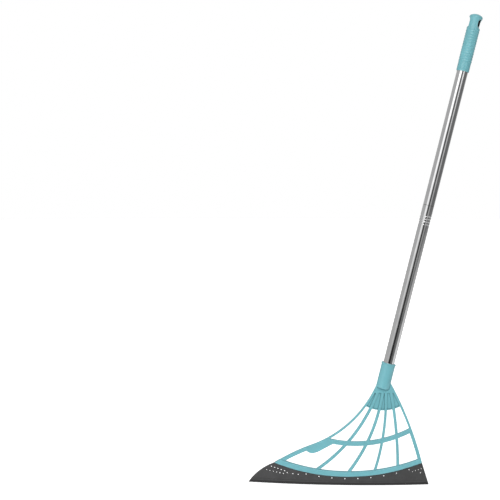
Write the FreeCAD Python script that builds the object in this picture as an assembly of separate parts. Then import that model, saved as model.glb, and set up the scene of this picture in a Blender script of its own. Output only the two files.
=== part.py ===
import FreeCAD, Part
import math
import os

from FreeCAD import Vector

# Squeegee broom: an open fan-shaped head with a soft wiping blade, and a handle of two steel tubes that
# screw together and into the head.
#
# Frame, in millimetres: X along the blade, Y from the front to the back, Z up. The origin is on the
# blade's bottom edge, at the middle of its length. The head is bowed towards the front, so its middle
# is the furthest forward and its ends are set back. The handle leans towards +X in the XZ plane.

# ---- Driving dimensions: head ----
BOW_RADIUS = 956.0            # of the head's mid surface, seen from above
FRAME_THICKNESS = 6.5         # rails, ribs, crossbar and fan plate
RIM_THICKNESS = 9.0
EDGE_ROUND = 0.8
CORNER_ROUND = 0.8            # in the corners of the windows
RIB_WIDTH = 5.0
MIDDLE_RIB_WIDTH = 4.4
UPPER_LEFT_RAIL_WIDTH = 3.5
UPPER_RIGHT_RAIL_WIDTH = 4.2
LOWER_LEFT_RAIL_WIDTH = 7.0
LOWER_RIGHT_RAIL_WIDTH = 6.2
CROSSBAR_WIDTH = 8.2
CROSSBAR_CENTRE = (28.0, 302.5)
CROSSBAR_RADIUS = 225.0
RIM_CENTRE = (15.0, 416.0)
RIM_INNER_RADIUS = 390.7
RIM_REACH = 20.0              # more than the rim's height
RIM_BEVEL = 1.3
PLATE_FOOT_CENTRE = (80.0, 209.5)
PLATE_FOOT_RADIUS = 70.0
POCKET_DEPTH = 1.8
POCKET_TOP = 172.0
POCKET_FOOT_MARGIN = 1.6      # between the recesses and the plate's lower edge

# ---- Driving dimensions: blade ----
BLADE_THICKNESS = 3.2
BAND_HEIGHT = 7.5             # the thinner band along the bottom edge
BAND_THICKNESS = 2.4
LIP_HEIGHT = 4.0
LIP_THICKNESS = 1.5
STEP_HEIGHT = 0.6             # of each sloping step between them
TONGUE_HEIGHT = 5.0           # the part held in the rim
HOLE_RADIUS = 1.2
SMALL_HOLE_RADIUS = 1.0
MAIN_ROW_RADIUS = 404.1       # of the main row of holes, about the rim's centre
MAIN_ROW_START = -10.84       # degrees about the rim's centre
MAIN_ROW_STEP = 3.39
MAIN_ROW_COUNT = 9

# ---- Driving dimensions: handle, distances along its axis from where it meets the floor ----
POLE_LEAN = 13.6              # degrees from vertical, towards +X
POLE_FOOT = Vector(34.5, 3.0, 0.0)
SOCKET_FOOT = 187.3
SOCKET_MOUTH = 233.3
SOCKET_RADIUS = 12.5
SOCKET_LIP_RADIUS = 13.3
SOCKET_LIP_HEIGHT = 2.0
SOCKET_LIP_BEVEL = 0.6
SOCKET_FOOT_DEPTH = 1.6       # the rounded end below the socket's wall
TUBE_RADIUS = 10.0
TUBE_WALL = 0.5
TUBE_LENGTH = 309.8
LOWER_TUBE_FOOT = 220.0
WASHER_THICKNESS = 0.6
WASHER_RADIUS = 9.8
GROOVE_COUNT = 4
GROOVE_PITCH = 5.0
GROOVE_RADIUS = 1.3
GROOVE_DEPTH = 0.55
FIRST_GROOVE_DROP = 20.0      # from the lower tube's top end to the first groove
GRIP_FOOT = 777.7
GRIP_TOP = 882.2
GRIP_RADIUS = 11.4
GRIP_RING_COUNT = 13
GRIP_RING_PITCH = 4.85
GRIP_RING_HEIGHT = 0.45
GRIP_RING_WIDTH = 4.3
GRIP_EDGE_ROUND = 0.6
GRIP_BORE_CLEARANCE = 0.05
GRIP_STOP_GAP = 0.4           # above the upper tube's end
SHOULDER_HEIGHT = 857.3
CAP_HEIGHT = 875.4            # where the end cap is widest
CAP_RADIUS = 11.8
CAP_CORNER = (9.0, 879.8)     # radius and height where the dome begins
HANG_HOLE_RADIUS = 6.5
HANG_HOLE_HEIGHT = 866.8
HANG_HOLE_TURN = -20.0        # degrees about the handle, from +X towards the front
NECK_DEPTH = 3.6
NECK_FOOT_ROUND = 2.4
NECK_FLARE_FOOT = 868.0       # from here up the flat neck curves out to the cap
QUARTER_ROUND = 0.3           # how far in, of its radius, the middle of a quarter round lies

# ---- Driving dimensions: threads ----
THREAD_PITCH = 5.0
THREAD_RADIUS = 7.3           # crest of the studs
THREAD_CORE_RADIUS = 5.8
THREAD_CREST_WIDTH = 1.2
THREAD_FOOT_WIDTH = 2.2
THREAD_LENGTH = 24.0
THREAD_CLEARANCE = 0.3
THREAD_SINK = 0.4             # how deep a ridge's root sits in the core, so the two join
THREAD_END_GAP = 0.2          # between the ridge's ends and the stud's ends
THREAD_LEAD = 1.9             # length of the cone that trims each end of the ridge
THREAD_RUNOUT = 3.0           # empty depth below a stud's tip
STUD_TIP_BEVEL = 0.6
STUD_TIP_WALL = 5.0

JOINT_FOOT = LOWER_TUBE_FOOT + TUBE_LENGTH
UPPER_TUBE_FOOT = JOINT_FOOT + WASHER_THICKNESS
SOCKET_FLOOR = LOWER_TUBE_FOOT - WASHER_THICKNESS
INSERT_RADIUS = TUBE_RADIUS - TUBE_WALL
INSERT_LENGTH = 28.0
STUD_CORE_RADIUS = 3.6
NUT_LENGTH = 45.0
NUT_CORE_DEPTH = 15.0
REACH = 400.0                 # longer than the head in any direction


# ---- Shared helpers ----
def point(x, z):
    return Vector(x, 0.0, z)


def arc(start, middle, end):
    """The arc through three (x, z) points."""
    return Part.Arc(point(*start), point(*middle), point(*end)).toShape()


def line(start, end):
    return Part.LineSegment(point(*start), point(*end)).toShape()


def face_of(edges):
    return Part.Face(Part.Wire(edges))


def disc(centre, radius):
    """A round face in the XZ plane."""
    circle = Part.Circle(point(*centre), Vector(0, 1, 0), radius)
    return face_of([circle.toShape()])


def circle_through(start, middle, end):
    circle = arc(start, middle, end).Curve
    return (circle.Center.x, circle.Center.z), circle.Radius


def arc_strip(start, middle, end, width):
    """A ring of this width along the whole circle through three (x, z) points."""
    centre, radius = circle_through(start, middle, end)
    return disc(centre, radius + width / 2).cut(disc(centre, radius - width / 2))


def half_plane(start, end):
    """A large four-sided face on the left of the line from start to end."""
    along = point(*end).sub(point(*start)).normalize()
    left = Vector(-along.z, 0, along.x)
    near = point(*start).sub(along * REACH)
    far = point(*end).add(along * REACH)
    return Part.Face(Part.makePolygon([near, far, far + left * REACH, near + left * REACH, near]))


def prism(face):
    """The face carried from far in front to far behind."""
    solid = face.copy()
    solid.translate(Vector(0, -REACH, 0))
    return solid.extrude(Vector(0, 2 * REACH, 0))


def bowed_shell(thickness, offset=0.0):
    """The bowed layer of the head, this thick, centred this far in front of the mid surface."""
    outer = Part.makeCylinder(BOW_RADIUS + offset + thickness / 2, REACH, Vector(0, BOW_RADIUS, -REACH / 8))
    inner = Part.makeCylinder(BOW_RADIUS + offset - thickness / 2, REACH, Vector(0, BOW_RADIUS, -REACH / 8))
    front = Part.makeBox(2 * REACH, REACH, 2 * REACH, Vector(-REACH, -REACH / 2, -REACH))
    return outer.cut(inner).common(front)


def revolve(points):
    """A solid turned about the Z axis from a closed outline of (radius, height) points."""
    outline = Part.makePolygon([Vector(r, 0, z) for r, z in points + points[:1]])
    return Part.Face(outline).revolve(Vector(), Vector(0, 0, 1), 360)


def tube(outer, inner, foot, top):
    return revolve([(inner, foot), (outer, foot), (outer, top), (inner, top)])


def on_pole(solid, turn=0.0):
    """Puts a solid made upright about the Z axis onto the leaning handle."""
    placed = solid.copy()
    placed.rotate(Vector(), Vector(0, 0, 1), turn)
    placed.rotate(Vector(), Vector(0, 1, 0), POLE_LEAN)
    placed.translate(POLE_FOOT)
    return placed


def save(name, shape):
    solids = shape.removeSplitter()
    solids.exportStep("parts/" + name + ".step")
    print(name, solids.isValid(), len(solids.Solids), round(solids.Volume))


# ---- Threads ----
def thread_ridge(foot, length, grow):
    """One helical ridge, with grow added all round for the thread that receives it."""
    root = THREAD_CORE_RADIUS - THREAD_SINK
    crest = THREAD_RADIUS + grow
    slope = (THREAD_FOOT_WIDTH - THREAD_CREST_WIDTH) / 2 / (THREAD_RADIUS - THREAD_CORE_RADIUS)
    half_crest = THREAD_CREST_WIDTH / 2 + grow
    half_root = half_crest + slope * (crest - root)
    corners = [
        Vector(root, 0, foot - half_root),
        Vector(crest, 0, foot - half_crest),
        Vector(crest, 0, foot + half_crest),
        Vector(root, 0, foot + half_root),
    ]
    helix = Part.makeHelix(THREAD_PITCH, length, THREAD_CORE_RADIUS)
    helix.translate(Vector(0, 0, foot))
    outline = Part.makePolygon(corners + corners[:1])
    return Part.Solid(Part.Wire(helix).makePipeShell([outline], True, True))


def stud(shoulder):
    """A tube's plug, whose threaded stud reaches down from the tube's end at this height."""
    neck = shoulder - WASHER_THICKNESS
    tip = neck - THREAD_LENGTH
    low, high = tip + THREAD_END_GAP, neck - THREAD_END_GAP
    envelope = revolve([
        (0, low),
        (THREAD_CORE_RADIUS - THREAD_SINK, low),
        (THREAD_RADIUS, low + THREAD_LEAD),
        (THREAD_RADIUS + THREAD_LEAD, low + 2 * THREAD_LEAD),
        (THREAD_RADIUS + THREAD_LEAD, high - 2 * THREAD_LEAD),
        (THREAD_RADIUS, high - THREAD_LEAD),
        (THREAD_CORE_RADIUS - THREAD_SINK, high),
        (0, high),
    ])
    ridge = thread_ridge(tip + THREAD_PITCH / 4, THREAD_LENGTH - THREAD_PITCH / 2, 0.0).common(envelope)
    plug = revolve([
        (0, tip),
        (THREAD_CORE_RADIUS - STUD_TIP_BEVEL, tip),
        (THREAD_CORE_RADIUS, tip + STUD_TIP_BEVEL),
        (THREAD_CORE_RADIUS, shoulder),
        (INSERT_RADIUS, shoulder),
        (INSERT_RADIUS, shoulder + INSERT_LENGTH),
        (STUD_CORE_RADIUS, shoulder + INSERT_LENGTH),
        (STUD_CORE_RADIUS, tip + STUD_TIP_WALL),
        (0, tip + STUD_TIP_WALL),
    ])
    return plug.fuse(ridge)


def thread_hole(floor, depth):
    """The threaded hole that takes a stud, open at the floor and this deep."""
    start = floor - THREAD_LENGTH + THREAD_PITCH / 4 - THREAD_PITCH
    groove = thread_ridge(start, THREAD_LENGTH + 2 * THREAD_PITCH, THREAD_CLEARANCE)
    within = Part.makeCylinder(2 * THREAD_RADIUS, depth, Vector(0, 0, floor - depth))
    bore = Part.makeCylinder(THREAD_CORE_RADIUS + THREAD_CLEARANCE, depth, Vector(0, 0, floor - depth))
    return bore.fuse(groove.common(within))


# ---- Head: curves in the XZ plane ----
LEFT_TOP = (69.8, 196.2)
LEFT_SHOULDER = (67.3, 187.0)
LEFT_WAIST = (-50.9, 74.5)
LEFT_CORNER = (-119.8, 38.8)
BLADE_TIP = (-168.5, 0.0)
BLADE_END = (165.0, 0.0)
RIGHT_CORNER = (152.0, 41.3)
RIGHT_SHOULDER = (94.3, 188.0)
RIGHT_TOP = (92.2, 190.6)
LEFT_FLARE = (LEFT_SHOULDER, (19.4, 119.0), LEFT_WAIST)
LEFT_RAIL = (LEFT_WAIST, (-91.2, 56.0), LEFT_CORNER)
BLADE_CURVE = (LEFT_CORNER, (-144.1, 25.4), BLADE_TIP)
RIGHT_RAIL = (RIGHT_SHOULDER, (128.3, 114.9), RIGHT_CORNER)
RIM_FOOT = (LEFT_CORNER, (16.0, 16.3), RIGHT_CORNER)
RIBS = [
    ((53.6, 137.1), (19.5, 85.0), (-33.4, 34.0), RIB_WIDTH),
    ((71.6, 137.1), (53.3, 85.0), (24.1, 34.0), RIB_WIDTH),
    ((84.3, 137.1), (78.9, 85.0), (67.2, 34.0), MIDDLE_RIB_WIDTH),
    ((99.7, 137.1), (105.3, 85.0), (107.4, 34.0), RIB_WIDTH),
]
TAB_NOTCH = (-62.5, 65.0)
TAB_FOOT = (-49.0, 58.9)
TAB_END = (-10.0, 78.0)
CROSSBAR_LEVEL = 102.0        # parts the narrow upper rails from the wide lower ones
HOLE_ROWS = [                 # first hole, step to the next, count, radius
    ((-125.5, 31.2), (6.1, -1.78), 5, HOLE_RADIUS),
    ((-134.5, 24.4), (6.26, -1.17), 4, SMALL_HOLE_RADIUS),
    ((-109.5, 19.7), (6.26, -1.17), 2, HOLE_RADIUS),
    ((-96.0, 20.5), (10.2, -1.28), 3, HOLE_RADIUS),
    ((135.1, 24.4), (5.2, 1.75), 4, SMALL_HOLE_RADIUS),
    ((149.5, 22.2), (0.0, 0.0), 1, HOLE_RADIUS),
]


def head_outline():
    """The whole head above the blade: socket end, both sides and the rim's lower edge."""
    return face_of([
        line(LEFT_TOP, LEFT_SHOULDER),
        arc(*LEFT_FLARE),
        arc(*LEFT_RAIL),
        arc(*RIM_FOOT),
        arc(*reversed(RIGHT_RAIL)),
        line(RIGHT_SHOULDER, RIGHT_TOP),
        line(RIGHT_TOP, LEFT_TOP),
    ])


def side_strip(curve, width, inward):
    """A strip of this width along the inside of one side of the head."""
    centre, radius = circle_through(*curve)
    if inward > 0:
        return disc(centre, radius + width).cut(disc(centre, radius))
    return disc(centre, radius).cut(disc(centre, radius - width))


def tab_face():
    """The solid web between the left rail and the crossbar, with its rounded hook."""
    return face_of([
        arc(TAB_NOTCH, (-56.0, 60.0), TAB_FOOT),
        arc(TAB_FOOT, (-41.0, 61.0), (-33.0, 65.1)),
        line((-33.0, 65.1), TAB_END),
        line(TAB_END, (-14.0, 82.5)),
        line((-14.0, 82.5), (-30.0, 82.5)),
        line((-30.0, 82.5), (-56.0, 76.0)),
        line((-56.0, 76.0), TAB_NOTCH),
    ])


def plate_region():
    """Everything above the fan plate's rounded lower edge."""
    return half_plane((0.0, PLATE_FOOT_CENTRE[1]), (1.0, PLATE_FOOT_CENTRE[1])).fuse(
        disc(PLATE_FOOT_CENTRE, PLATE_FOOT_RADIUS))


def rib_faces():
    return [arc_strip(start, middle, end, width) for start, middle, end, width in RIBS]


def rail_faces():
    above = half_plane((0.0, CROSSBAR_LEVEL), (1.0, CROSSBAR_LEVEL))
    below = half_plane((1.0, CROSSBAR_LEVEL), (0.0, CROSSBAR_LEVEL))
    beside_tab = half_plane((TAB_FOOT[0], 0.0), (TAB_FOOT[0], 1.0))
    return [
        side_strip(LEFT_FLARE, UPPER_LEFT_RAIL_WIDTH, 1),
        side_strip(LEFT_RAIL, LOWER_LEFT_RAIL_WIDTH, -1).common(beside_tab),
        side_strip(RIGHT_RAIL, UPPER_RIGHT_RAIL_WIDTH, -1).common(above),
        side_strip(RIGHT_RAIL, LOWER_RIGHT_RAIL_WIDTH, -1).common(below),
    ]


def members_prism():
    """The open frame as seen from the front, with its ten windows, as one deep prism."""
    crossbar = disc(CROSSBAR_CENTRE, CROSSBAR_RADIUS + CROSSBAR_WIDTH / 2).cut(
        disc(CROSSBAR_CENTRE, CROSSBAR_RADIUS - CROSSBAR_WIDTH / 2))
    faces = rib_faces() + rail_faces() + [crossbar, rim_face(), tab_face()]
    members = prism(plate_region()).multiFuse([prism(face) for face in faces])
    outline = prism(head_outline())
    return round_corners(members.common(outline).removeSplitter().Solids[0])


def rim_face():
    """The ring below the rim's upper edge."""
    return disc(RIM_CENTRE, RIM_INNER_RADIUS + RIM_REACH).cut(disc(RIM_CENTRE, RIM_INNER_RADIUS))


def tongue_face():
    """The strip along the rim's lower edge that the blade's tongue fills."""
    centre, radius = circle_through(*RIM_FOOT)
    return disc(centre, radius + RIM_REACH).cut(disc(centre, radius - TONGUE_HEIGHT)).common(head_outline())


def round_corners(solid):
    """Rounds the window corners, which are the prism's upright edges where two walls meet inside it."""
    corners = []
    for edge in solid.Edges:
        low, high = edge.Vertexes[0].Point, edge.Vertexes[-1].Point
        across = math.hypot(high.x - low.x, high.z - low.z)
        if across < 0.01 and is_hollow_corner(solid, low):
            corners.append(edge)
    return solid.makeFillet(CORNER_ROUND, corners)


def is_hollow_corner(solid, corner):
    """True where more than half of a small circle about the corner lies in the solid."""
    inside = 0
    for step in range(24):
        angle = math.radians(step * 15 + 5)
        probe = Vector(corner.x + 0.4 * math.cos(angle), 0.0, corner.z + 0.4 * math.sin(angle))
        if solid.isInside(probe, 0.001, True):
            inside += 1
    return inside > 13


# ---- Head: solids ----
def pocket_prisms():
    """The recesses between the ribs of the fan plate."""
    region = disc(PLATE_FOOT_CENTRE, PLATE_FOOT_RADIUS - POCKET_FOOT_MARGIN).common(
        half_plane((1.0, POCKET_TOP), (0.0, POCKET_TOP)))
    walls = [prism(face) for face in rib_faces() + rail_faces()]
    inside = prism(region).common(prism(head_outline()))
    return inside.cut(walls[0].multiFuse(walls[1:])).Solids


def socket_body():
    """The socket's round wall with its lip, tapering into the fan plate at its foot."""
    return on_pole(revolve([
        (0, SOCKET_FOOT - SOCKET_FOOT_DEPTH),
        (SOCKET_RADIUS - 2.0 * SOCKET_FOOT_DEPTH, SOCKET_FOOT - SOCKET_FOOT_DEPTH),
        (SOCKET_RADIUS - 0.6 * SOCKET_FOOT_DEPTH, SOCKET_FOOT - 0.6 * SOCKET_FOOT_DEPTH),
        (SOCKET_RADIUS, SOCKET_FOOT + 0.6 * SOCKET_FOOT_DEPTH),
        (SOCKET_RADIUS, SOCKET_MOUTH - SOCKET_LIP_HEIGHT - SOCKET_LIP_BEVEL),
        (SOCKET_LIP_RADIUS, SOCKET_MOUTH - SOCKET_LIP_HEIGHT),
        (SOCKET_LIP_RADIUS, SOCKET_MOUTH - SOCKET_LIP_BEVEL),
        (SOCKET_LIP_RADIUS - SOCKET_LIP_BEVEL, SOCKET_MOUTH),
        (0, SOCKET_MOUTH),
    ]))


def socket_hollow():
    """The smooth mouth round the tube's end, over the threaded hole for the stud."""
    mouth_radius = TUBE_RADIUS + THREAD_CLEARANCE
    mouth = revolve([
        (0, SOCKET_FLOOR),
        (mouth_radius, SOCKET_FLOOR),
        (mouth_radius, SOCKET_MOUTH - SOCKET_LIP_BEVEL),
        (mouth_radius + 2 * SOCKET_LIP_BEVEL, SOCKET_MOUTH + SOCKET_LIP_BEVEL),
        (0, SOCKET_MOUTH + SOCKET_LIP_BEVEL),
    ])
    return on_pole(mouth.fuse(thread_hole(SOCKET_FLOOR, THREAD_LENGTH + THREAD_RUNOUT)))


def blade_groove():
    """The slot along the rim's lower edge, as deep as the blade's tongue."""
    return prism(tongue_face()).common(bowed_shell(BLADE_THICKNESS))


def face_edges(solid, thickness):
    """The edges that bound the bowed front and back faces of a layer this thick."""
    found = []
    for edge in solid.Edges:
        first, last = edge.FirstParameter, edge.LastParameter
        depths = []
        for share in (0.1, 0.5, 0.9):
            spot = edge.valueAt(first + share * (last - first))
            depths.append(math.hypot(spot.x, spot.y - BOW_RADIUS) - BOW_RADIUS)
        if all(abs(abs(depth) - thickness / 2) < 0.02 for depth in depths):
            found.append(edge)
    return found


def edges_on_circle(edges, centre, radius):
    """Those edges that run at this radius about a centre in the XZ plane."""
    found = []
    for edge in edges:
        spot = edge.valueAt((edge.FirstParameter + edge.LastParameter) / 2)
        if abs(math.hypot(spot.x - centre[0], spot.z - centre[1]) - radius) < 0.02:
            found.append(edge)
    return found


def rim():
    """The thicker band that holds the blade, bevelled at its lower edges and rounded at its upper ones."""
    band = prism(rim_face().common(head_outline())).common(bowed_shell(RIM_THICKNESS)).Solids[0]
    lower = edges_on_circle(face_edges(band, RIM_THICKNESS), *circle_through(*RIM_FOOT))
    bevelled = band.makeChamfer(RIM_BEVEL, lower)
    upper = edges_on_circle(face_edges(bevelled, RIM_THICKNESS), RIM_CENTRE, RIM_INNER_RADIUS)
    return bevelled.makeFillet(EDGE_ROUND, upper)


def head_frame():
    members = members_prism().common(bowed_shell(FRAME_THICKNESS)).Solids[0]
    frame = members.makeFillet(EDGE_ROUND, face_edges(members, FRAME_THICKNESS)).fuse(rim())
    for side in (1, -1):
        layer = bowed_shell(POCKET_DEPTH + 1.0, side * (FRAME_THICKNESS / 2 - POCKET_DEPTH / 2 + 0.5))
        frame = frame.cut([pocket.common(layer) for pocket in pocket_prisms()])
    return frame.fuse(socket_body()).cut(socket_hollow()).cut(blade_groove())


def blade_section():
    """The blade's section in front of and behind the mid surface, as (distance, height) points."""
    front = [
        (LIP_THICKNESS / 2, 0.0),
        (LIP_THICKNESS / 2, LIP_HEIGHT),
        (BAND_THICKNESS / 2, LIP_HEIGHT + STEP_HEIGHT),
        (BAND_THICKNESS / 2, BAND_HEIGHT),
        (BLADE_THICKNESS / 2, BAND_HEIGHT + STEP_HEIGHT),
        (BLADE_THICKNESS / 2, REACH / 2),
    ]
    return front + [(-away, height) for away, height in reversed(front)]


def blade_holes():
    """The drain holes, each square to the bowed blade."""
    places = []
    for first, step, count, radius in HOLE_ROWS:
        for index in range(count):
            places.append((first[0] + index * step[0], first[1] + index * step[1], radius))
    x_centre, z_centre = RIM_CENTRE
    for index in range(MAIN_ROW_COUNT):
        angle = math.radians(MAIN_ROW_START + index * MAIN_ROW_STEP)
        x = x_centre + MAIN_ROW_RADIUS * math.sin(angle)
        places.append((x, z_centre - MAIN_ROW_RADIUS * math.cos(angle), HOLE_RADIUS))
    holes = []
    for x, z, radius in places:
        inward = Vector(-x, math.sqrt(BOW_RADIUS ** 2 - x ** 2), 0).normalize()
        start = Vector(x, BOW_RADIUS - math.sqrt(BOW_RADIUS ** 2 - x ** 2), z) - inward * BLADE_THICKNESS
        holes.append(Part.makeCylinder(radius, 2 * BLADE_THICKNESS, start, inward))
    return holes


def wiper_blade():
    """The soft blade, with a tongue of even depth that fills the rim's groove."""
    outline = face_of([
        line(BLADE_TIP, BLADE_END),
        line(BLADE_END, RIGHT_CORNER),
        arc(*reversed(RIM_FOOT)),
        arc(*BLADE_CURVE),
    ])
    ring = revolve([(BOW_RADIUS + away, height) for away, height in blade_section()])
    ring.translate(Vector(0, BOW_RADIUS, 0))
    blade = prism(outline).fuse(prism(tongue_face())).common(ring)
    return blade.cut(blade_holes())


# ---- Handle ----
def rolled_grooves(radius):
    """Rings of round section at the lower tube's four rolled grooves."""
    centre_radius = TUBE_RADIUS - GROOVE_DEPTH + GROOVE_RADIUS
    rings = []
    for index in range(GROOVE_COUNT):
        height = JOINT_FOOT - FIRST_GROOVE_DROP - index * GROOVE_PITCH
        rings.append(Part.makeTorus(centre_radius, radius, Vector(0, 0, height)))
    return rings


def lower_tube():
    top = LOWER_TUBE_FOOT + TUBE_LENGTH
    wall = tube(TUBE_RADIUS, TUBE_RADIUS - TUBE_WALL, LOWER_TUBE_FOOT, top)
    outside = Part.makeCylinder(TUBE_RADIUS, REACH * 2, Vector(0, 0, LOWER_TUBE_FOOT))
    beads = [ring.common(outside) for ring in rolled_grooves(GROOVE_RADIUS + TUBE_WALL)]
    return on_pole(wall.multiFuse(beads).cut(rolled_grooves(GROOVE_RADIUS)))


def upper_tube():
    return on_pole(tube(TUBE_RADIUS, TUBE_RADIUS - TUBE_WALL, UPPER_TUBE_FOOT, UPPER_TUBE_FOOT + TUBE_LENGTH))


def lower_tube_nut():
    body = Part.makeCylinder(INSERT_RADIUS, NUT_LENGTH, Vector(0, 0, JOINT_FOOT - NUT_LENGTH))
    core = Part.makeCylinder(THREAD_CORE_RADIUS, NUT_CORE_DEPTH, Vector(0, 0, JOINT_FOOT - NUT_LENGTH))
    hole = thread_hole(JOINT_FOOT, THREAD_LENGTH + THREAD_RUNOUT)
    return on_pole(body.cut(rolled_grooves(GROOVE_RADIUS + TUBE_WALL)).cut(core).cut(hole))


def washer(foot):
    return on_pole(tube(WASHER_RADIUS, THREAD_CORE_RADIUS + THREAD_CLEARANCE, foot, foot + WASHER_THICKNESS))


def dome_edge(radius, foot, top):
    """Half of a spherical cap's outline, from its rim at this radius and height up to the axis."""
    sphere = (radius ** 2 + (top - foot) ** 2) / (2 * (top - foot))
    middle = (radius / 2, top - sphere + math.sqrt(sphere ** 2 - radius ** 2 / 4))
    return arc((radius, foot), middle, (0, top))


def grip_ring_edges(foot):
    """The outline of the rounded rings, one above the other."""
    gap = GRIP_RING_PITCH - GRIP_RING_WIDTH
    edges = []
    for index in range(GRIP_RING_COUNT):
        low = foot + index * GRIP_RING_PITCH
        high = low + GRIP_RING_WIDTH
        crest = (GRIP_RADIUS + GRIP_RING_HEIGHT, (low + high) / 2)
        edges.append(arc((GRIP_RADIUS, low), crest, (GRIP_RADIUS, high)))
        edges.append(line((GRIP_RADIUS, high), (GRIP_RADIUS, high + gap)))
    return edges


def neck_cutter(side):
    """What is cut away on one side to leave the flat neck below the cap."""
    surface, flat = 2 * GRIP_RADIUS, GRIP_RADIUS - NECK_DEPTH
    flare_start = (flat, NECK_FLARE_FOOT)
    flare_end = (CAP_RADIUS, CAP_HEIGHT)
    flare_middle = (flat + 0.32 * (CAP_RADIUS - flat), NECK_FLARE_FOOT + 0.62 * (CAP_HEIGHT - NECK_FLARE_FOOT))
    foot = (flat, SHOULDER_HEIGHT + NECK_FOOT_ROUND)
    foot_middle = (flat + QUARTER_ROUND * NECK_FOOT_ROUND, SHOULDER_HEIGHT + QUARTER_ROUND * NECK_FOOT_ROUND)
    foot_end = (flat + NECK_FOOT_ROUND, SHOULDER_HEIGHT)
    outline = face_of([
        line(foot, flare_start),
        arc(flare_start, flare_middle, flare_end),
        line(flare_end, (surface, CAP_HEIGHT)),
        line((surface, CAP_HEIGHT), (surface, SHOULDER_HEIGHT)),
        line((surface, SHOULDER_HEIGHT), foot_end),
        arc(foot_end, foot_middle, foot),
    ])
    if side < 0:
        outline = outline.mirror(Vector(), Vector(1, 0, 0))
    return prism(outline)


def grip():
    bore = TUBE_RADIUS + GRIP_BORE_CLEARANCE
    bore_top = UPPER_TUBE_FOOT + TUBE_LENGTH + GRIP_STOP_GAP
    rings_foot = SHOULDER_HEIGHT - GRIP_RING_COUNT * GRIP_RING_PITCH
    edge = GRIP_EDGE_ROUND
    foot_middle = (GRIP_RADIUS - QUARTER_ROUND * edge, GRIP_FOOT + QUARTER_ROUND * edge)
    outline = [
        line((bore + edge, GRIP_FOOT), (GRIP_RADIUS - edge, GRIP_FOOT)),
        arc((GRIP_RADIUS - edge, GRIP_FOOT), foot_middle, (GRIP_RADIUS, GRIP_FOOT + edge)),
        line((GRIP_RADIUS, GRIP_FOOT + edge), (GRIP_RADIUS, rings_foot)),
    ]
    outline += grip_ring_edges(rings_foot)
    outline += [
        line((GRIP_RADIUS, SHOULDER_HEIGHT), (GRIP_RADIUS, NECK_FLARE_FOOT)),
        line((GRIP_RADIUS, NECK_FLARE_FOOT), (CAP_RADIUS, CAP_HEIGHT)),
        arc((CAP_RADIUS, CAP_HEIGHT), (CAP_RADIUS - 0.5, CAP_HEIGHT + 2.6), CAP_CORNER),
        dome_edge(*CAP_CORNER, GRIP_TOP),
        line((0, GRIP_TOP), (0, bore_top)),
        line((0, bore_top), (bore, bore_top)),
        line((bore, bore_top), (bore, GRIP_FOOT + edge)),
        line((bore, GRIP_FOOT + edge), (bore + edge, GRIP_FOOT)),
    ]
    body = face_of(outline).revolve(Vector(), Vector(0, 0, 1), 360)
    body = body.cut([neck_cutter(1), neck_cutter(-1)])
    start = Vector(-2 * GRIP_RADIUS, 0, HANG_HOLE_HEIGHT)
    body = body.cut(Part.makeCylinder(HANG_HOLE_RADIUS, 4 * GRIP_RADIUS, start, Vector(1, 0, 0)))
    return on_pole(body, HANG_HOLE_TURN)


if __name__ == "__main__":
    os.makedirs("parts", exist_ok=True)
    save("head_frame", head_frame())
    save("wiper_blade", wiper_blade())
    save("socket_washer", washer(SOCKET_FLOOR))
    save("lower_tube", lower_tube())
    save("lower_tube_stud", on_pole(stud(LOWER_TUBE_FOOT)))
    save("lower_tube_nut", lower_tube_nut())
    save("joint_washer", washer(JOINT_FOOT))
    save("upper_tube", upper_tube())
    save("upper_tube_stud", on_pole(stud(UPPER_TUBE_FOOT)))
    save("grip", grip())
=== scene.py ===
import math

import bpy
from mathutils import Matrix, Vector

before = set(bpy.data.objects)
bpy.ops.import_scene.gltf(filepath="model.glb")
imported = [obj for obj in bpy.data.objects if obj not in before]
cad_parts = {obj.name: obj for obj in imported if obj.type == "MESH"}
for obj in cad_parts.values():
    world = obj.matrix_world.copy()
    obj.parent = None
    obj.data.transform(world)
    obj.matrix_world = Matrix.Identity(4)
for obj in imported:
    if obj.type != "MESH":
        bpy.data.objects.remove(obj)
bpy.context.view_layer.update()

# ---- Colours, in linear light ----
FRAME_PLASTIC = (0.172, 0.455, 0.510)
# The frame's plastic made darker: partly painted shade against the grip's nearness to the key light,
# partly for its stronger sheen.
GRIP_PLASTIC = (0.150, 0.400, 0.445)
PLUG_PLASTIC = (0.045, 0.045, 0.048)
BLADE_RUBBER = (0.048, 0.048, 0.049)
WASHER_RUBBER = (0.018, 0.018, 0.018)
STEEL_DULL = (0.62, 0.62, 0.63)
STEEL_BRIGHT = (0.70, 0.70, 0.70)
# Painted shade: near-black for the dark inside of the grip's hanging hole.
BORE_SHADE = (0.004, 0.005, 0.006)
FLOOR_DULL = (0.92, 0.92, 0.92)
FLOOR_BRIGHT = (0.94, 0.94, 0.94)

# ---- The part's own dimensions, in metres ----
POLE_FOOT = Vector((0.0345, 0.003, 0.0))
POLE_LEAN = math.radians(13.6)
HANDLE_AXIS = Vector((math.sin(POLE_LEAN), 0, math.cos(POLE_LEAN)))
HANDLE_SIDE = Vector((math.cos(POLE_LEAN), 0, -math.sin(POLE_LEAN)))     # square to it, to the right
HOLE_TURN = math.radians(-20)
HOLE_PLACE = POLE_FOOT + 0.8668 * HANDLE_AXIS
HOLE_AXIS = math.cos(HOLE_TURN) * HANDLE_SIDE + math.sin(HOLE_TURN) * Vector((0, 1, 0))
HOLE_RADIUS = 0.0065
LIP_TOP = 0.0046              # of the blade's lip, with the step above it
BAND_TOP = 0.0079
LIP_EDGE = 0.0004             # half of the stretch over which the lip's painted shade fades
BAND_SHADE_LINE = (0.0003, 0.0009)  # half the width of the dark line of painted shade, where it is full and where it ends
BAND_SHADE_LINE_STRENGTH = 0.55

# ---- Painted shade in creases: how open a point is, which is 1 on flat faces, and how far the colour then darkens ----
CREASE_REACH = 0.0022
CREASE_START = 0.88
CREASE_FULL = 0.52
CREASE_SHADE_STRENGTH = 0.70

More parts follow.
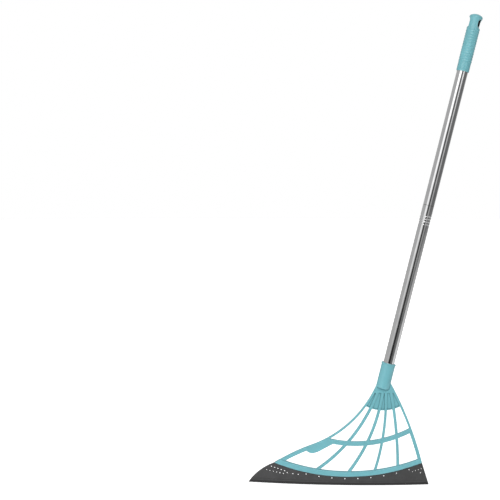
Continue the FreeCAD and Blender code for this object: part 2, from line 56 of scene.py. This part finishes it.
# ---- Studio ----
# Heights are given as the part of a unit direction that runs along the handle, and places round it in
# degrees from the front, to the right.
ROOM = 0.56
SKY = 0.58
SKY_FOOT = (0.34, 0.46)
ZENITH = 0.60
ZENITH_FOOT = (0.72, 0.86)
GROUND = 2.1
GROUND_TOP = (-0.50, -0.64)
GROUND_REFLECTED = 0.2        # how much of the bright ground a mirror shows
BACK = 0.1
BACK_EDGE = (155, 167)

# Soft boxes and dark flags: the middle and half the width, then the brightness at the foot, head and top.
FOOT_LEVEL = -0.12
HEAD_LEVEL = 0.08
TOP_LEVEL = 0.20
STRIP_SOFTNESS = 6.0
LEFT_BOX = (-35, 18, 0.6, 1.7, 3.4)
FRONT_FLAG = (5, 15, 0.02, 0.11, 0.35)
RIGHT_BOX = (31, 9, 0.06, 0.8, 3.2)
RIGHT_FLAG = (85, 42, 0.12, 0.2, 0.2)

# Two that stand only low down: the middle, half the width and the brightness.
LOW_STRIP_TOP = 0.0
RIGHT_GLOW = (95, 30, 0.9)
FOOT_FLAG = (-1, 20, 0.02)

FLOOR_RADIUS = 14.0
FLOOR_SIDES = 96
FLOOR_GLOW = 0.55
KEY_PLACE = (-0.2, -5.4, 3.7)
KEY_AIM = (0.05, 0.0, 0.4)
KEY_SIZE = (2.0, 2.0)
KEY_POWER = 175

CAMERA_PLACE = (-0.0424, -2.1516, 0.5648)
CAMERA_TURN = (math.radians(90 - 3.49), 0.0, math.radians(3.256))
CAMERA_LENS = 85.0


# ---------------------------------------------------------------- node helpers

def new_material(name):
    """A material with only its shader and output; returns the material, its node tree and the shader."""
    material = bpy.data.materials.new(name)
    material.use_nodes = True
    tree = material.node_tree
    return material, tree, tree.nodes["Principled BSDF"]


def add(tree, kind, **settings):
    """A node of this kind, with these settings."""
    node = tree.nodes.new(kind)
    for name, value in settings.items():
        setattr(node, name, value)
    return node


def link(tree, source, target):
    tree.links.new(source, target)


def object_place(tree, scale=(1, 1, 1)):
    """The surface point in the object's own space, in metres, stretched by scale."""
    coordinates = add(tree, "ShaderNodeTexCoord")
    mapping = add(tree, "ShaderNodeMapping")
    mapping.inputs["Scale"].default_value = scale
    link(tree, coordinates.outputs["Object"], mapping.inputs["Vector"])
    return mapping.outputs["Vector"]


def noise(tree, place, scale, detail=3.0, roughness=0.5):
    node = add(tree, "ShaderNodeTexNoise")
    node.inputs["Scale"].default_value = scale
    node.inputs["Detail"].default_value = detail
    node.inputs["Roughness"].default_value = roughness
    link(tree, place, node.inputs["Vector"])
    return node.outputs["Fac"]


def remap(tree, value, low, high, to_low, to_high):
    node = add(tree, "ShaderNodeMapRange")
    limits = (("From Min", low), ("From Max", high), ("To Min", to_low), ("To Max", to_high))
    for name, number in limits:
        node.inputs[name].default_value = number
    link(tree, value, node.inputs["Value"])
    return node.outputs["Result"]


def ramp(tree, value, start, end):
    """A blend between two (place, colour) stops."""
    node = add(tree, "ShaderNodeValToRGB")
    for element, (place, colour) in zip(node.color_ramp.elements, (start, end)):
        element.position = place
        element.color = opaque(colour)
    link(tree, value, node.inputs["Fac"])
    return node.outputs["Color"]


def dot(tree, vector, axis):
    node = add(tree, "ShaderNodeVectorMath", operation="DOT_PRODUCT")
    node.inputs[1].default_value = axis
    link(tree, vector, node.inputs[0])
    return node.outputs["Value"]


def mix(tree, share, first, second):
    """The first colour where share is 0 and the second where it is 1."""
    node = add(tree, "ShaderNodeMix", data_type="RGBA")
    for target, source in (("Factor_Float", share), ("A_Color", first), ("B_Color", second)):
        socket = next(item for item in node.inputs if item.identifier == target)
        if isinstance(source, tuple):
            socket.default_value = source
        else:
            link(tree, source, socket)
    return next(item for item in node.outputs if item.identifier == "Result_Color")


def maths(tree, operation, first, second=0.0):
    node = add(tree, "ShaderNodeMath", operation=operation)
    for socket, value in zip(node.inputs, (first, second)):
        if isinstance(value, float):
            socket.default_value = value
        else:
            link(tree, value, socket)
    return node.outputs["Value"]


def bump(tree, shader, layers):
    """Chains bump nodes onto the shader's normal; layers are (height, strength, distance in metres)."""
    normal = None
    for height, strength, distance in layers:
        node = add(tree, "ShaderNodeBump")
        node.inputs["Strength"].default_value = strength
        node.inputs["Distance"].default_value = distance
        link(tree, height, node.inputs["Height"])
        if normal is not None:
            link(tree, normal, node.inputs["Normal"])
        normal = node.outputs["Normal"]
    link(tree, normal, shader.inputs["Normal"])


def shade(colour, factor):
    return tuple(channel * factor for channel in colour)


def opaque(colour):
    return (*colour, 1)


def grey(level):
    return (level, level, level, 1)


# ---------------------------------------------------------------- materials

def moulded_plastic(name, colour, roughness, shaded_bore=False):
    """Satin injection-moulded polypropylene: fine spark-eroded grain, slow flow shading and scuffs.

    With shaded_bore the wall of the hanging hole is painted nearly black, as painted shade for the hole's
    dark inside.
    """
    material, tree, shader = new_material(name)
    place = object_place(tree)
    flow = noise(tree, place, scale=22.0, detail=2.0)
    grain = noise(tree, place, scale=2600.0, detail=2.0)
    scuffs = noise(tree, object_place(tree, (1.0, 1.0, 0.12)), scale=900.0, detail=4.0, roughness=0.6)
    paint = ramp(tree, flow, (0.3, shade(colour, 0.94)), (0.7, shade(colour, 1.05)))
    # Painted shade: the colour darkens in narrow grooves and inner corners.
    paint = mix(tree, crease_shade_share(tree), paint, opaque(shade(colour, 0.30)))
    # Painted shade: the wall of the hanging hole is painted near-black.
    if shaded_bore:
        paint = mix(tree, bore_shade_share(tree), paint, opaque(BORE_SHADE))
    link(tree, paint, shader.inputs["Base Color"])
    link(tree, remap(tree, scuffs, 0.35, 0.75, roughness - 0.05, roughness + 0.10),
         shader.inputs["Roughness"])
    shader.inputs["IOR"].default_value = 1.49
    shader.inputs["Subsurface Weight"].default_value = 0.06
    shader.inputs["Subsurface Radius"].default_value = (0.6, 1.0, 1.0)
    shader.inputs["Subsurface Scale"].default_value = 0.0015
    bump(tree, shader, [(grain, 0.25, 0.00004), (scuffs, 0.10, 0.00003)])
    return material


def crease_shade_share(tree):
    """Rises in the piece's own narrow grooves and inner corners, as painted shade there."""
    node = add(tree, "ShaderNodeAmbientOcclusion", samples=8, only_local=True)
    node.inputs["Distance"].default_value = CREASE_REACH
    return remap(tree, node.outputs["AO"], CREASE_START, CREASE_FULL, 0.0, CREASE_SHADE_STRENGTH)


def bore_shade_share(tree):
    """Where the hanging hole's painted shade goes: 1 on its wall and 0 elsewhere, from the distance to
    the hole's own line.
    """
    offset = add(tree, "ShaderNodeVectorMath", operation="SUBTRACT")
    offset.inputs[1].default_value = HOLE_PLACE
    link(tree, object_place(tree), offset.inputs[0])
    across = add(tree, "ShaderNodeVectorMath", operation="CROSS_PRODUCT")
    across.inputs[1].default_value = HOLE_AXIS
    link(tree, offset.outputs["Vector"], across.inputs[0])
    length = add(tree, "ShaderNodeVectorMath", operation="LENGTH")
    link(tree, across.outputs["Vector"], length.inputs[0])
    return remap(tree, length.outputs["Value"], HOLE_RADIUS + 0.00008, HOLE_RADIUS + 0.0004, 1, 0)


def soft_rubber(name, colour, roughness, shaded_lip=False):
    """Matt soft rubber: fine tooth, faint mould-flow mottling and a little dust bloom.

    With banded the thin lip that wipes the floor is painted darker, and a fine dark line is painted above
    the band, both as painted shade.
    """
    material, tree, shader = new_material(name)
    place = object_place(tree)
    mottle = maths(tree, "MULTIPLY", noise(tree, place, scale=60.0, detail=4.0, roughness=0.6), 0.6)
    speckle = maths(tree, "MULTIPLY", noise(tree, place, scale=420.0, detail=3.0, roughness=0.6), 0.4)
    tooth = noise(tree, place, scale=3200.0)
    paint = ramp(tree, maths(tree, "ADD", mottle, speckle),
                 (0.3, shade(colour, 0.80)), (0.7, shade(colour, 1.22)))
    # Painted shade: the lip is darkened and a dark line is drawn above the band.
    if shaded_lip:
        paint = lip_shade_paint(tree, place, paint, opaque(shade(colour, 0.42)))
    link(tree, paint, shader.inputs["Base Color"])
    link(tree, remap(tree, tooth, 0.3, 0.7, roughness - 0.06, roughness + 0.06),
         shader.inputs["Roughness"])
    shader.inputs["IOR"].default_value = 1.5
    bump(tree, shader, [(tooth, 0.3, 0.00005)])
    return material


def lip_shade_paint(tree, place, paint, dark):
    """The blade's paint with painted shade on its lip and as a dark line above its band."""
    split = add(tree, "ShaderNodeSeparateXYZ")
    link(tree, place, split.inputs["Vector"])
    height = split.outputs["Z"]
    lip = remap(tree, height, LIP_TOP - LIP_EDGE, LIP_TOP + LIP_EDGE, 1, 0)
    from_line = maths(tree, "ABSOLUTE", maths(tree, "SUBTRACT", height, BAND_TOP))
    line = remap(tree, from_line, *BAND_SHADE_LINE, BAND_SHADE_LINE_STRENGTH, 0)
    return mix(tree, line, mix(tree, lip, paint, dark), dark)


def polished_steel(name):
    """Polished stainless tube: hair-fine lengthwise polishing marks, slight waviness and smudges."""
    material, tree, shader = new_material(name)
    shader.inputs["Metallic"].default_value = 1.0
    hair = noise(tree, object_place(tree, (1.0, 1.0, 0.01)), scale=4200.0, detail=2.0)
    smudge = noise(tree, object_place(tree), scale=45.0, detail=4.0, roughness=0.6)
    wave = noise(tree, object_place(tree, (1.0, 1.0, 0.25)), scale=30.0, detail=1.0)
    link(tree, ramp(tree, smudge, (0.3, STEEL_DULL), (0.7, STEEL_BRIGHT)), shader.inputs["Base Color"])
    link(tree, remap(tree, smudge, 0.3, 0.75, 0.06, 0.14), shader.inputs["Roughness"])
    bump(tree, shader, [(hair, 0.08, 0.00002), (wave, 0.05, 0.0004)])
    return material


def assign(material, *nodes):
    """Puts a material in every slot of these CAD nodes' objects."""
    for node in nodes:
        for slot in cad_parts[node].material_slots:
            slot.material = material


# ---------------------------------------------------------------- studio

def disc_floor():
    """A round pale floor under the blade, lit softly from below like a light table."""
    turns = [k * math.tau / FLOOR_SIDES for k in range(FLOOR_SIDES)]
    ring = [(FLOOR_RADIUS * math.cos(turn), FLOOR_RADIUS * math.sin(turn), 0.0) for turn in turns]
    mesh = bpy.data.meshes.new("floor")
    mesh.from_pydata(ring, [], [list(range(FLOOR_SIDES))])
    floor = bpy.data.objects.new("floor", mesh)
    bpy.context.scene.collection.objects.link(floor)
    material, tree, shader = new_material("floor_paint")
    cloud = noise(tree, object_place(tree), scale=3.0)
    link(tree, ramp(tree, cloud, (0.3, FLOOR_DULL), (0.7, FLOOR_BRIGHT)), shader.inputs["Base Color"])
    shader.inputs["Roughness"].default_value = 0.9
    shader.inputs["Emission Color"].default_value = grey(1)
    shader.inputs["Emission Strength"].default_value = FLOOR_GLOW
    mesh.materials.append(material)
    floor.visible_glossy = False
    floor.visible_diffuse = False


def soft_box(name, place, aim, size, power):
    """A rectangular area light of this size, pointed from its place at the aim point."""
    light = bpy.data.lights.new(name, "AREA")
    light.shape = "RECTANGLE"
    light.size, light.size_y = size
    light.energy = power
    lamp = bpy.data.objects.new(name, light)
    lamp.location = place
    lamp.rotation_euler = (Vector(aim) - Vector(place)).to_track_quat("-Z", "Y").to_euler()
    bpy.context.scene.collection.objects.link(lamp)


def strip_share(tree, turn, centre, half_width):
    """1 within a strip that stands this many degrees round from the front, with soft edges."""
    away = maths(tree, "ABSOLUTE", maths(tree, "SUBTRACT", turn, float(centre)))
    return remap(tree, away, half_width - STRIP_SOFTNESS, half_width + STRIP_SOFTNESS, 1, 0)


def strip_level(tree, level, foot, head, top):
    """A strip's brightness, which changes evenly from its foot to its head, and on to its top."""
    lower = remap(tree, level, FOOT_LEVEL, HEAD_LEVEL, foot, head)
    return maths(tree, "ADD", lower, remap(tree, level, HEAD_LEVEL, TOP_LEVEL, 0, top - head))


def strips(tree, turn, level):
    """The grey room with its soft boxes and dark flags, which stand parallel to the handle."""
    colour = grey(ROOM)
    for centre, half_width, *brightness in (LEFT_BOX, FRONT_FLAG, RIGHT_BOX, RIGHT_FLAG):
        colour = mix(tree, strip_share(tree, turn, centre, half_width), colour,
                     strip_level(tree, level, *brightness))
    low = remap(tree, level, FOOT_LEVEL, LOW_STRIP_TOP, 1, 0)
    for centre, half_width, brightness in (RIGHT_GLOW, FOOT_FLAG):
        share = maths(tree, "MULTIPLY", low, strip_share(tree, turn, centre, half_width))
        colour = mix(tree, share, colour, grey(brightness))
    return mix(tree, remap(tree, maths(tree, "ABSOLUTE", turn), *BACK_EDGE, 0, 1), colour, grey(BACK))


def studio_world():
    """The grey room, under a soft ceiling and over a bright ground; plain white to the camera."""
    world = bpy.data.worlds.new("studio")
    world.use_nodes = True
    tree = world.node_tree
    direction = add(tree, "ShaderNodeTexCoord").outputs["Generated"]
    level = dot(tree, direction, HANDLE_AXIS)
    angle = maths(tree, "ARCTAN2", dot(tree, direction, HANDLE_SIDE), dot(tree, direction, (0, -1, 0)))
    turn = remap(tree, angle, -math.pi, math.pi, -180, 180)
    colour = strips(tree, turn, level)
    colour = mix(tree, remap(tree, level, *SKY_FOOT, 0, 1), colour, grey(SKY))
    colour = mix(tree, remap(tree, level, *ZENITH_FOOT, 0, 1), colour, grey(ZENITH))
    ray = add(tree, "ShaderNodeLightPath")
    mirrored = remap(tree, ray.outputs["Is Glossy Ray"], 0, 1, 1, GROUND_REFLECTED)
    ground_share = maths(tree, "MULTIPLY", remap(tree, level, *GROUND_TOP, 0, 1), mirrored)
    colour = mix(tree, ground_share, colour, grey(GROUND))
    seen = mix(tree, ray.outputs["Is Camera Ray"], colour, grey(1))
    link(tree, seen, tree.nodes["Background"].inputs["Color"])
    bpy.context.scene.world = world


def camera():
    data = bpy.data.cameras.new("camera")
    data.lens = CAMERA_LENS
    data.sensor_width = 36.0
    data.clip_end = 50.0
    eye = bpy.data.objects.new("camera", data)
    eye.location = CAMERA_PLACE
    eye.rotation_euler = CAMERA_TURN
    bpy.context.scene.collection.objects.link(eye)
    bpy.context.scene.camera = eye


# ---------------------------------------------------------------- scene

assign(moulded_plastic("frame_plastic", FRAME_PLASTIC, 0.36), "head_frame")
assign(moulded_plastic("grip_plastic", GRIP_PLASTIC, 0.32, shaded_bore=True), "grip")
assign(soft_rubber("blade_rubber", BLADE_RUBBER, 0.62, shaded_lip=True), "wiper_blade")
assign(polished_steel("tube_steel"), "lower_tube", "upper_tube")
assign(soft_rubber("washer_rubber", WASHER_RUBBER, 0.55), "joint_washer", "socket_washer")
assign(moulded_plastic("plug_plastic", PLUG_PLASTIC, 0.42),
       "lower_tube_stud", "lower_tube_nut", "upper_tube_stud")

disc_floor()
studio_world()
soft_box("key", KEY_PLACE, KEY_AIM, KEY_SIZE, KEY_POWER)
camera()
bpy.context.scene.view_settings.view_transform = "Standard"
